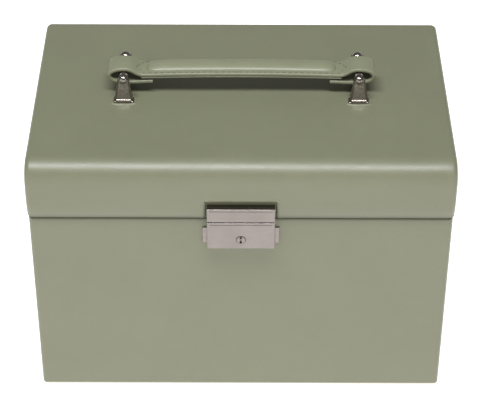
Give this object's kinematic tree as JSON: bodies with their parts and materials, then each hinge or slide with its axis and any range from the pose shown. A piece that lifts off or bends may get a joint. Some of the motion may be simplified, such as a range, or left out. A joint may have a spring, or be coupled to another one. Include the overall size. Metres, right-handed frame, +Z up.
{
  "type": "jewellery chest",
  "caption": "Leather-covered jewellery chest with a hinged lid, carrying handle, drop front with key lock, drawers behind it and a lined tray with mirror.",
  "frame": {"origin": "on the surface the chest stands on, under the middle of its box", "axes": "+X to the right as seen from the lock's side, +Y to the back, +Z up"},
  "size_m": [0.2512, 0.171, 0.1887],
  "materials": {
    "sage_leather": "smooth sage-green faux leather, soft satin",
    "board": "raw fibreboard",
    "cream_velvet": "short-pile velvet, warm cream",
    "base_suede": "brown suede sheet",
    "drawer_leather": "sage-green faux leather",
    "drawer_wood": "thin plywood, satin",
    "lock_nickel": "brushed nickel plate",
    "polished_nickel": "polished dark nickel",
    "steel": "plain zinc-plated steel",
    "mirror_glass": "silvered mirror",
    "mirror_frame": "leather-covered frame"
  },
  "bodies": {
    "case": {"base_board": "board", "base_rails": "board", "base_sheet": "base_suede", "bay_floor": "board", "bay_linings": "cream_velvet", "case_back": "board", "case_cover": "sage_leather", "case_side_left": "board", "case_side_right": "board", "catch_discs": "steel", "drawer_shelves": "board", "hinge_case_leaves": "polished_nickel", "hinge_case_screws": "steel", "hinge_pins": "polished_nickel", "hinge_strip": "sage_leather", "ring_bed": "cream_velvet", "ring_rolls": "cream_velvet", "top_rail": "cream_velvet", "tray_dividers": "cream_velvet", "tray_floor": "cream_velvet", "tray_rim": "cream_velvet"},
    "lid": {"lid_cover": "sage_leather", "lid_top_board": "board", "lid_front_rail": "cream_velvet", "lid_back_rail": "cream_velvet", "lid_side_left": "board", "lid_side_right": "board", "lid_lining": "cream_velvet", "mirror": "mirror_glass", "mirror_frame": "mirror_frame", "lock_hasp": "lock_nickel", "hasp_screws": "steel", "hinge_lid_leaves": "polished_nickel", "hinge_lid_screws": "steel", "handle_bracket_left": "polished_nickel", "handle_bracket_right": "polished_nickel", "bracket_screws": "steel"},
    "handle": {"handle_strap": "sage_leather", "handle_pad": "sage_leather"},
    "drop_front": {"flap_board": "board", "flap_cover": "sage_leather", "flap_lining": "cream_velvet", "flap_magnets": "steel", "lock_plate": "lock_nickel", "lock_case": "lock_nickel", "lock_rivets": "lock_nickel"},
    "key_barrel": {"lock_barrel": "lock_nickel", "lock_cam": "steel"},
    "drawer_lower": {"drawer_box_lower": "drawer_wood", "drawer_face_lower": "drawer_leather", "drawer_knob_lower": "polished_nickel", "drawer_insert_lower": "cream_velvet"},
    "drawer_middle": {"drawer_box_middle": "drawer_wood", "drawer_face_middle": "drawer_leather", "drawer_knob_middle": "polished_nickel", "drawer_insert_middle": "cream_velvet"},
    "drawer_upper": {"drawer_box_upper": "drawer_wood", "drawer_face_upper": "drawer_leather", "drawer_knob_upper": "polished_nickel", "drawer_insert_upper": "cream_velvet"}
  },
  "joints": [
    {"name": "lid_hinge", "type": "hinge", "parent": "case", "child": "lid", "pos_m": [0, 0.0828, 0.134], "axis": [-1, 0, 0], "range_deg": [0, 97]},
    {"name": "flap_hinge", "type": "hinge", "parent": "case", "child": "drop_front", "pos_m": [0, -0.0788, 0.0012], "axis": [1, 0, 0], "range_deg": [0, 87]},
    {"name": "handle_lift", "type": "slide", "parent": "lid", "child": "handle", "axis": [0, 0, 1], "range_m": [0, 0.0022]},
    {"name": "key_turn", "type": "hinge", "parent": "drop_front", "child": "key_barrel", "pos_m": [0, -0.085, 0.1213], "axis": [0, -1, 0], "range_deg": [0, 90]},
    {"name": "lower_drawer_slide", "type": "slide", "parent": "case", "child": "drawer_lower", "axis": [0, -1, 0], "range_m": [0, 0.06]},
    {"name": "middle_drawer_slide", "type": "slide", "parent": "case", "child": "drawer_middle", "axis": [0, -1, 0], "range_m": [0, 0.048]},
    {"name": "upper_drawer_slide", "type": "slide", "parent": "case", "child": "drawer_upper", "axis": [0, -1, 0], "range_m": [0, 0.036]}
  ],
  "couplings": [
    {"joint": "lower_drawer_slide", "follows": "flap_hinge", "m_per_rad": 0.03951},
    {"joint": "middle_drawer_slide", "follows": "flap_hinge", "m_per_rad": 0.031608},
    {"joint": "upper_drawer_slide", "follows": "flap_hinge", "m_per_rad": 0.023706}
  ]
}
